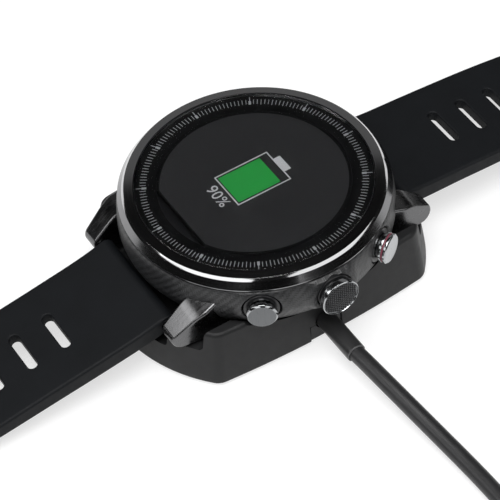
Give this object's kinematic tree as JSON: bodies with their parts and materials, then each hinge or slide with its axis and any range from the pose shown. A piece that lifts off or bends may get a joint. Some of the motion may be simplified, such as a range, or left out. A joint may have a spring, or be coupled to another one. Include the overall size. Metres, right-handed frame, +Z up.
{
  "type": "gps running watch on charging dock",
  "caption": "Round gps running watch with side buttons and a buckled strap, seated in its charging dock with a coiled cable and plug.",
  "frame": {"origin": "centre of the dock's foot pad, on the surface the dock stands on", "axes": "+Y towards 12 o'clock along the strap, +X towards 3 o'clock and the buttons, +Z up through the glass"},
  "size_m": [0.143, 0.2333, 0.0208],
  "materials": {
    "satin_steel": "satin dark grey",
    "polished_steel": "polished",
    "carbon_case": "twill carbon fibre weave, satin",
    "glass": "polished",
    "dial": "black with light grey marks",
    "black_plastic": "satin",
    "black_gloss": "gloss",
    "dock_plastic": "fine matte grain",
    "silicone": "soft matte",
    "circuit_board": "solder mask",
    "gold_contact": "gold plated",
    "foil": "foil",
    "accent": "enamel",
    "cable_jacket": "satin"
  },
  "bodies": {
    "dock": {"dock_shell": "dock_plastic", "dock_base_plate": "dock_plastic", "dock_foot_pad": "silicone", "dock_board": "circuit_board", "dock_cable_collar": "dock_plastic", "cable_boot": "black_gloss", "cord_lead": "cable_jacket", "cord_coil": "cable_jacket", "cord_tail": "cable_jacket", "usb_plug_body": "black_gloss", "usb_plug_shell": "polished_steel"},
    "pogo_pins": {"pogo_pin_1": "gold_contact", "pogo_pin_2": "gold_contact", "pogo_pin_3": "gold_contact", "pogo_pin_4": "gold_contact"},
    "watch": {"bezel_ring": "satin_steel", "cover_glass": "glass", "glass_gasket": "black_plastic", "minute_ring": "dial", "display_panel": "dial", "inner_frame": "black_plastic", "gps_antenna": "gold_contact", "main_board": "circuit_board", "battery_cell": "foil", "vibration_motor": "foil", "upper_switch": "black_plastic", "middle_switch": "black_plastic", "lower_switch": "black_plastic", "mid_case": "carbon_case", "case_back": "black_plastic", "back_gasket": "silicone", "sensor_window": "glass", "sensor_board": "circuit_board", "case_screw_1": "polished_steel", "case_screw_2": "polished_steel", "case_screw_3": "polished_steel", "case_screw_4": "polished_steel", "charging_contact_1": "gold_contact", "charging_contact_2": "gold_contact", "charging_contact_3": "gold_contact", "charging_contact_4": "gold_contact", "upper_button_sleeve": "black_plastic", "middle_button_sleeve": "black_plastic", "lower_button_sleeve": "black_plastic", "spring_bar_6": "polished_steel", "spring_bar_12": "polished_steel"},
    "upper_button": {"upper_button": "polished_steel", "upper_button_accent": "accent"},
    "middle_button": {"middle_button": "polished_steel"},
    "lower_button": {"lower_button": "polished_steel"},
    "strap_6": {"strap_hole_side": "silicone"},
    "strap_12": {"strap_buckle_side": "silicone", "keeper_fixed": "silicone", "buckle_pin": "polished_steel"},
    "keeper": {"keeper_free": "silicone"},
    "buckle": {"buckle_frame": "satin_steel"},
    "tongue": {"buckle_tongue": "satin_steel"}
  },
  "joints": [
    {"name": "undock_lift", "type": "slide", "parent": "dock", "child": "watch", "axis": [0, 0, 1], "range_m": [0, 0.03]},
    {"name": "pogo_press", "type": "slide", "parent": "dock", "child": "pogo_pins", "axis": [0, 0, -1], "range_m": [0, 0.0006], "stiffness_N_per_m": 200, "springref_m": -0.0005},
    {"name": "upper_press", "type": "slide", "parent": "watch", "child": "upper_button", "axis": [-0.866, -0.5, 0], "range_m": [0, 0.0006], "stiffness_N_per_m": 1500, "springref_m": -0.0003},
    {"name": "middle_press", "type": "slide", "parent": "watch", "child": "middle_button", "axis": [-1, 0, 0], "range_m": [0, 0.0006], "stiffness_N_per_m": 1500, "springref_m": -0.0003},
    {"name": "lower_press", "type": "slide", "parent": "watch", "child": "lower_button", "axis": [-0.866, 0.5, 0], "range_m": [0, 0.0006], "stiffness_N_per_m": 1500, "springref_m": -0.0003},
    {"name": "strap_6_hinge", "type": "hinge", "parent": "watch", "child": "strap_6", "pos_m": [0, -0.0246, 0.0096], "axis": [-1, 0, 0], "range_deg": [0, 65]},
    {"name": "strap_12_hinge", "type": "hinge", "parent": "watch", "child": "strap_12", "pos_m": [0, 0.0246, 0.0096], "axis": [1, 0, 0], "range_deg": [0, 65]},
    {"name": "keeper_slide", "type": "slide", "parent": "strap_12", "child": "keeper", "axis": [0, -0.988, 0.1548], "range_m": [0, 0.008]},
    {"name": "buckle_hinge", "type": "hinge", "parent": "strap_12", "child": "buckle", "pos_m": [0, 0.09, 0.0021], "axis": [1, 0, 0], "range_deg": [0, 45]},
    {"name": "tongue_hinge", "type": "hinge", "parent": "buckle", "child": "tongue", "pos_m": [0, 0.09, 0.0021], "axis": [1, 0, 0], "range_deg": [0, 55]}
  ]
}
